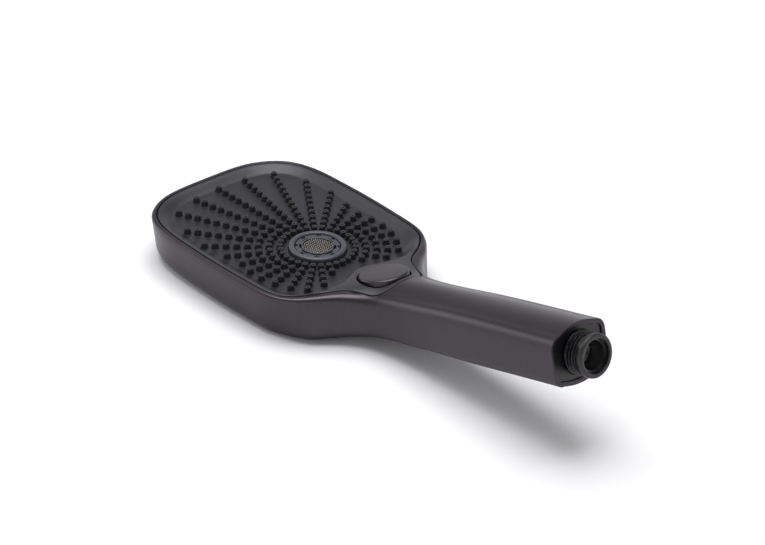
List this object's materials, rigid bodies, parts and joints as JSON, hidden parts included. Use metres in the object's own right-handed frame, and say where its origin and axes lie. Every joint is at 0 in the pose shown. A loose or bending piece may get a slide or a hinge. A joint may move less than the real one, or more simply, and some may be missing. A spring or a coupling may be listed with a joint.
{
  "type": "handheld shower head",
  "caption": "Flat paddle shower head with a spray face, a push-button spray selector and a tilted handle ending in a hose thread.",
  "frame": {"origin": "middle of the footprint, on the surface that the head's flat back lies on", "axes": "+X from the head to the hose end of the handle, +Y to one side, +Z out of the spray face"},
  "size_m": [0.2824, 0.1074, 0.0638],
  "materials": {
    "housing_metal": "moulded ABS with brushed gunmetal plating, satin",
    "button_metal": "moulded ABS with brushed gunmetal plating, satin",
    "plate": "satin dark grey",
    "silicone": "matt",
    "ring_plastic": "satin grey",
    "mesh_steel": "woven wire",
    "black_plastic": "matt",
    "connector_plastic": "semi-gloss black",
    "white_plastic": "natural acetal",
    "rubber_seal": "matt",
    "spring_steel": "bright"
  },
  "bodies": {
    "root": {"housing": "housing_metal", "face_plate": "plate", "nozzle_mat": "silicone", "spray_ring": "ring_plastic", "jet_ring": "ring_plastic", "mesh_retainer": "ring_plastic", "mesh_screen": "mesh_steel", "aerator_body": "white_plastic", "spray_plate": "black_plastic", "chamber_gasket": "rubber_seal", "water_chamber": "black_plastic", "jet_tube": "black_plastic", "chamber_screw_1": "spring_steel", "chamber_screw_2": "spring_steel", "chamber_screw_3": "spring_steel", "chamber_screw_4": "spring_steel", "chamber_screw_5": "spring_steel", "chamber_screw_6": "spring_steel", "rain_duct": "black_plastic", "jet_duct": "black_plastic", "spring_guide": "black_plastic", "stem_seal": "rubber_seal", "return_spring": "spring_steel", "valve_seat": "rubber_seal", "cartridge_body": "black_plastic", "water_tube": "white_plastic", "tube_seal_front": "rubber_seal", "tube_seal_rear": "rubber_seal", "end_cap": "connector_plastic", "hose_connector": "connector_plastic", "flow_regulator": "white_plastic", "strainer_ring": "spring_steel"},
    "button": {"button_cap": "button_metal", "button_carrier": "white_plastic"},
    "driver": {"ratchet_driver": "white_plastic"},
    "rotor": {"valve_rotor": "white_plastic", "valve_disc": "spring_steel"}
  },
  "joints": [
    {"name": "button_press", "type": "slide", "parent": "root", "child": "button", "axis": [0.2588, 0, -0.9659], "range_m": [0, 0.0025], "stiffness_N_per_m": 900, "deforming": ["return_spring"]},
    {"name": "driver_turn", "type": "hinge", "parent": "root", "child": "driver", "pos_m": [0.00098, 0, 0.01802], "axis": [-0.2588, 0, 0.9659], "range_deg": [0, 60]},
    {"name": "rotor_turn", "type": "hinge", "parent": "root", "child": "rotor", "pos_m": [0.00098, 0, 0.01802], "axis": [-0.2588, 0, 0.9659], "continuous": true}
  ],
  "couplings": [
    {"joint": "driver_turn", "follows": "button_press", "rad_per_m": 418.88}
  ]
}
